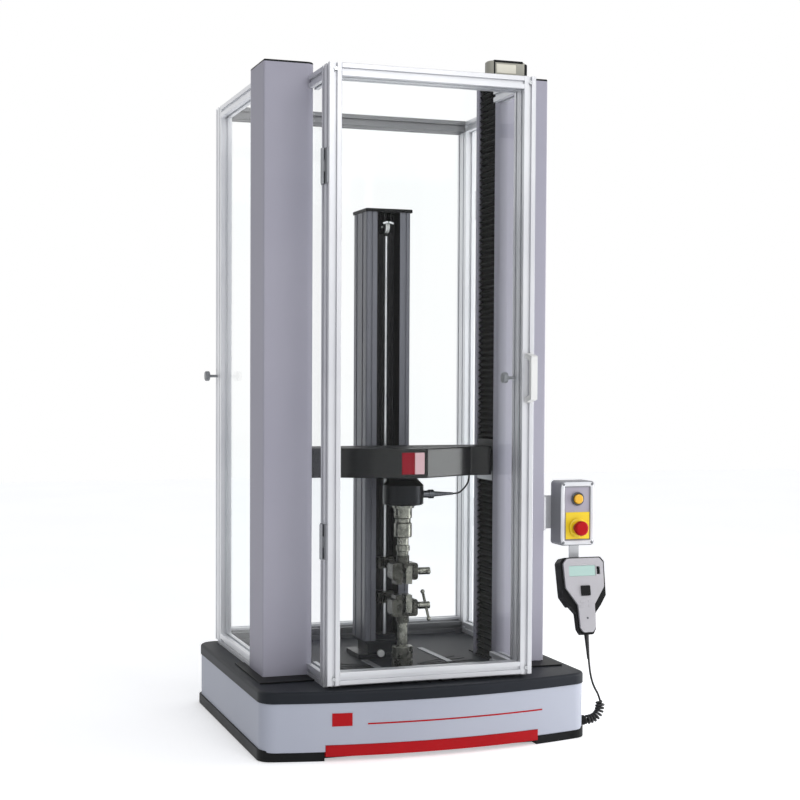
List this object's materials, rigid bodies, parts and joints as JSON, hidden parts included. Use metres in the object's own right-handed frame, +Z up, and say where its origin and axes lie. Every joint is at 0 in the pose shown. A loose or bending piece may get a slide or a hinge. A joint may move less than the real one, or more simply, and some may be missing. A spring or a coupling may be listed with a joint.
{
  "type": "universal testing machine",
  "caption": "Two-column tabletop universal testing machine with crosshead, grips, extensometer tower, safety enclosure with doors and a hand control.",
  "frame": {"origin": "midway between the two screws, at the level that the foot tray stands on", "axes": "+Z up, parallel to the load axis, which lies 57 mm in front, +Y to the back of the machine, +X to the right as its user sees it"},
  "size_m": [0.9359, 0.7569, 1.615],
  "materials": {
    "lilac_paint": "satin lilac-grey powder coat",
    "black_plastic": "fine-grained black",
    "red_plastic": "glossy red",
    "slate_cover": "dark slate, satin",
    "ground_steel": "bright ground steel",
    "dark_steel": "blued steel",
    "cast_beam": "black structure paint",
    "gloss_black": "polished black",
    "cell_steel": "fine turned steel",
    "bellows_rubber": "dull black",
    "tower_grey": "satin mid grey",
    "white_plastic": "white",
    "anodised_profile": "natural anodised",
    "clear_pane": "clear sheet",
    "grey_plastic": "fine-grained grey",
    "amber_plastic": "amber",
    "silver_face": "silver",
    "cord_rubber": "black",
    "cream_plastic": "cream"
  },
  "bodies": {
    "machine": {"base_body": "lilac_paint", "base_plinth": "black_plastic", "front_trim": "red_plastic", "table_cover": "slate_cover", "columns": "lilac_paint", "column_caps": "black_plastic", "guide_rods": "ground_steel", "screw_bearings": "dark_steel", "lower_adapter": "ground_steel", "lower_grip_body": "dark_steel", "upper_bellows": "bellows_rubber", "lower_bellows": "bellows_rubber", "tower_profile": "tower_grey", "tower_foot": "ground_steel", "tower_cap": "black_plastic", "tower_rod": "ground_steel", "front_frame": "anodised_profile", "rear_frame": "anodised_profile", "side_panes": "clear_pane", "hinge_posts": "dark_steel", "control_box": "grey_plastic", "control_bracket": "lilac_paint", "hand_control_shell": "black_plastic", "hand_control_face": "silver_face", "hand_control_relief": "cord_rubber", "hand_control_lead": "cord_rubber", "curly_cord": "cord_rubber", "cord_socket": "black_plastic", "frame_lamp": "cream_plastic"},
    "crosshead": {"crosshead_beam": "cast_beam", "bellows_clamps": "cast_beam", "crosshead_cover": "gloss_black", "screw_nuts": "dark_steel", "load_cell": "cell_steel", "load_cell_connector": "dark_steel", "load_cell_lead": "cord_rubber", "upper_adapter": "ground_steel", "upper_grip_body": "dark_steel"},
    "left_screw_shaft": {"left_screw": "ground_steel"},
    "right_screw_shaft": {"right_screw": "ground_steel"},
    "upper_jaw_slide": {"upper_jaw": "dark_steel"},
    "upper_clamp_screw": {"upper_grip_screw": "ground_steel"},
    "lower_jaw_slide": {"lower_jaw": "dark_steel"},
    "lower_clamp_screw": {"lower_grip_screw": "ground_steel"},
    "upper_feeler": {"upper_carriage": "dark_steel"},
    "lower_feeler": {"lower_carriage": "dark_steel"},
    "guide_wheel": {"tower_wheel": "white_plastic"},
    "front_door": {"front_door_frame": "anodised_profile", "front_door_pane": "clear_pane", "front_door_hinges": "dark_steel", "front_door_handle": "white_plastic"},
    "front_catch": {"front_door_catch": "black_plastic"},
    "rear_door": {"rear_door_frame": "anodised_profile", "rear_door_pane": "clear_pane", "rear_door_hinges": "dark_steel"},
    "rear_catch": {"rear_door_handle": "black_plastic"},
    "start_push_button": {"start_button": "amber_plastic"},
    "stop_push_button": {"stop_button": "red_plastic"},
    "hand_key": {"hand_control_key": "black_plastic"},
    "hand_jog_wheel": {"jog_wheel": "black_plastic"}
  },
  "joints": [
    {"name": "crosshead_travel", "type": "slide", "parent": "machine", "child": "crosshead", "axis": [0, 0, 1], "range_m": [-0.02, 0.75], "deforming": ["upper_bellows", "lower_bellows"]},
    {"name": "left_screw_turn", "type": "hinge", "parent": "machine", "child": "left_screw_shaft", "pos_m": [-0.2995, 0, 0.16], "axis": [0, 0, 1], "continuous": true},
    {"name": "right_screw_turn", "type": "hinge", "parent": "machine", "child": "right_screw_shaft", "pos_m": [0.2995, 0, 0.16], "axis": [0, 0, 1], "continuous": true},
    {"name": "upper_jaw_travel", "type": "slide", "parent": "crosshead", "child": "upper_jaw_slide", "axis": [1, 0, 0], "range_m": [-0.009, 0.0015]},
    {"name": "upper_clamp_turn", "type": "hinge", "parent": "upper_jaw_slide", "child": "upper_clamp_screw", "pos_m": [0.03, -0.057, 0.3949], "axis": [1, 0, 0], "range_deg": [-90.5, 540.5]},
    {"name": "lower_jaw_travel", "type": "slide", "parent": "machine", "child": "lower_jaw_slide", "axis": [1, 0, 0], "range_m": [-0.009, 0.0015]},
    {"name": "lower_clamp_turn", "type": "hinge", "parent": "lower_jaw_slide", "child": "lower_clamp_screw", "pos_m": [0.03, -0.057, 0.3101], "axis": [1, 0, 0], "range_deg": [-90.5, 540.5]},
    {"name": "upper_feeler_travel", "type": "slide", "parent": "machine", "child": "upper_feeler", "axis": [0, 0, 1], "range_m": [0, 0.12]},
    {"name": "lower_feeler_travel", "type": "slide", "parent": "machine", "child": "lower_feeler", "axis": [0, 0, 1], "range_m": [-0.075, 0.05]},
    {"name": "guide_wheel_turn", "type": "hinge", "parent": "machine", "child": "guide_wheel", "pos_m": [0, 0.084, 1.248], "axis": [1, 0, 0], "continuous": true},
    {"name": "front_door_swing", "type": "hinge", "parent": "machine", "child": "front_door", "pos_m": [-0.259, -0.2365, 0.16], "axis": [0, 0, 1], "range_deg": [-110, 0]},
    {"name": "front_catch_pull", "type": "slide", "parent": "machine", "child": "front_catch", "axis": [-1, 0, 0], "range_m": [0, 0.005], "stiffness_N_per_m": 400, "springref_m": -0.003},
    {"name": "rear_door_swing", "type": "hinge", "parent": "machine", "child": "rear_door", "pos_m": [0.365, 0.4065, 0.16], "axis": [0, 0, 1], "range_deg": [-110, 0]},
    {"name": "rear_catch_pull", "type": "slide", "parent": "rear_door", "child": "rear_catch", "axis": [-1, 0, 0], "range_m": [0, 0.005], "stiffness_N_per_m": 400, "springref_m": -0.003},
    {"name": "start_press", "type": "slide", "parent": "machine", "child": "start_push_button", "axis": [0, 1, 0], "range_m": [0, 0.0025], "stiffness_N_per_m": 500, "springref_m": -0.002},
    {"name": "stop_press", "type": "slide", "parent": "machine", "child": "stop_push_button", "axis": [0, 1, 0], "range_m": [0, 0.005], "stiffness_N_per_m": 500, "springref_m": -0.002},
    {"name": "key_press", "type": "slide", "parent": "machine", "child": "hand_key", "axis": [0, 0.9792, -0.2028], "range_m": [0, 0.0025], "stiffness_N_per_m": 400, "springref_m": -0.002},
    {"name": "jog_turn", "type": "hinge", "parent": "machine", "child": "hand_jog_wheel", "pos_m": [0.51, -0.09077, 0.383], "axis": [1, 0, 0], "continuous": true}
  ],
  "couplings": [
    {"joint": "left_screw_turn", "follows": "crosshead_travel", "rad_per_m": 314.16},
    {"joint": "right_screw_turn", "follows": "crosshead_travel", "rad_per_m": 314.16},
    {"joint": "upper_clamp_turn", "follows": "upper_jaw_travel", "rad_per_m": -1047.2},
    {"joint": "lower_clamp_turn", "follows": "lower_jaw_travel", "rad_per_m": -1047.2}
  ]
}
